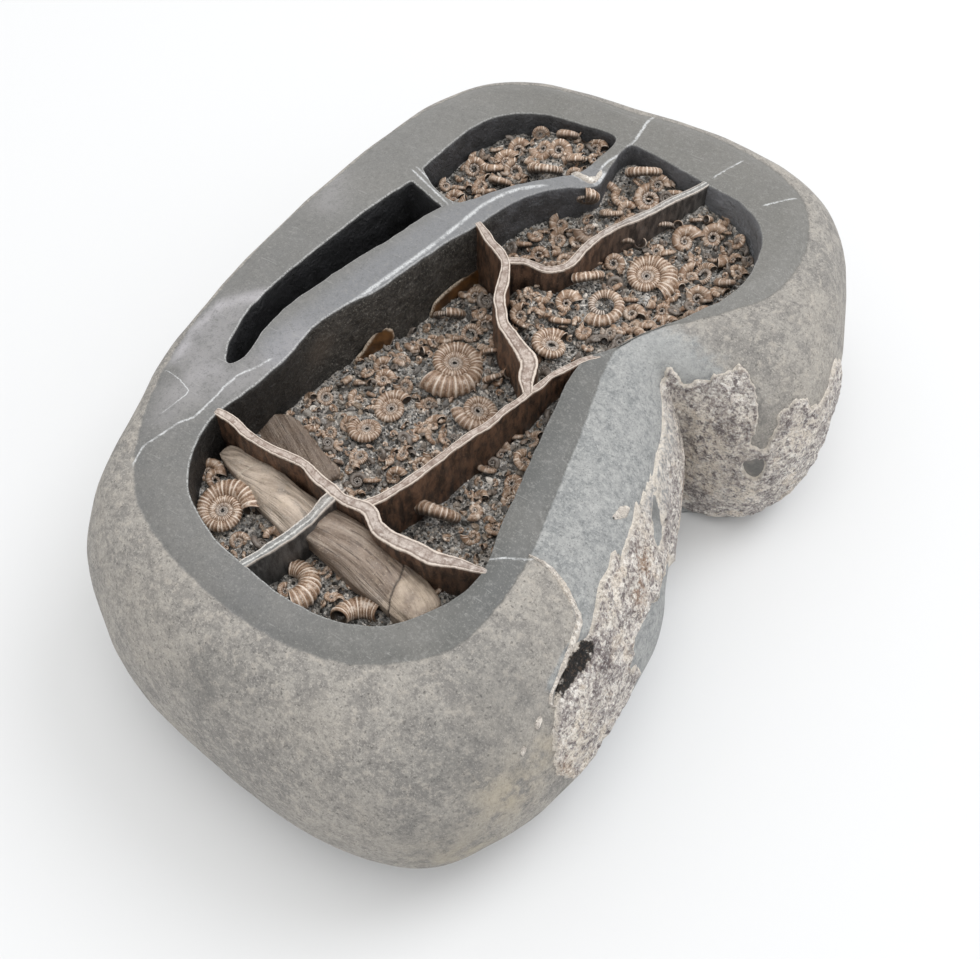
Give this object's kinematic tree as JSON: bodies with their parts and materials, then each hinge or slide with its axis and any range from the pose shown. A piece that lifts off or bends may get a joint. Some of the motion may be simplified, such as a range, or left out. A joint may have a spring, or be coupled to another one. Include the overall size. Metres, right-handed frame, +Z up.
{
  "type": "ammonite fossil slab",
  "caption": "Limestone nodule, ground flat on top and hollowed to show small ammonites and fossil wood between upright calcite veins.",
  "frame": {"origin": "the middle of the slab's box at the flat underside it rests on", "axes": "+Y along the slab's length towards the back hollow, +X towards the side with the waist, +Z up out of the ground top"},
  "size_m": [0.194, 0.2774, 0.082],
  "materials": {
    "limestone": "weathered grey limestone, ground smooth and dark on the top rim",
    "calcite_vein": "ground pale pinkish-white calcite with brown specks and brown broken sides",
    "calcite_crust": "rough fibrous cream and purple-grey calcite crust",
    "fossil_wood": "taupe-brown fossil wood with fine dark grain",
    "shell": "smooth glossy brown shell",
    "ammonite": "tan-brown ribbed calcite shells with darker hollows"
  },
  "bodies": {
    "root": {"nodule": "limestone", "septum_front": "calcite_vein", "septum_long": "calcite_vein", "septum_cross": "calcite_vein", "septum_fork": "calcite_vein", "septum_back": "calcite_vein", "calcite_crust": "calcite_crust", "fossil_wood_left": "fossil_wood", "fossil_wood_right": "fossil_wood", "wood_sheet": "fossil_wood", "shell_flake_left": "shell", "shell_flake_right": "shell", "ammonite_01": "ammonite", "ammonite_02": "ammonite", "ammonite_03": "ammonite", "ammonite_04": "ammonite", "ammonite_05": "ammonite", "ammonite_06": "ammonite", "ammonite_07": "ammonite", "ammonite_08": "ammonite", "ammonite_09": "ammonite", "ammonite_10": "ammonite", "ammonite_11": "ammonite", "ammonite_12": "ammonite", "ammonite_13": "ammonite", "ammonite_14": "ammonite", "ammonite_15": "ammonite", "ammonite_16": "ammonite", "ammonite_17": "ammonite", "ammonite_18": "ammonite", "ammonite_19": "ammonite", "ammonite_20": "ammonite", "ammonite_21": "ammonite", "ammonite_22": "ammonite"}
  },
  "joints": []
}
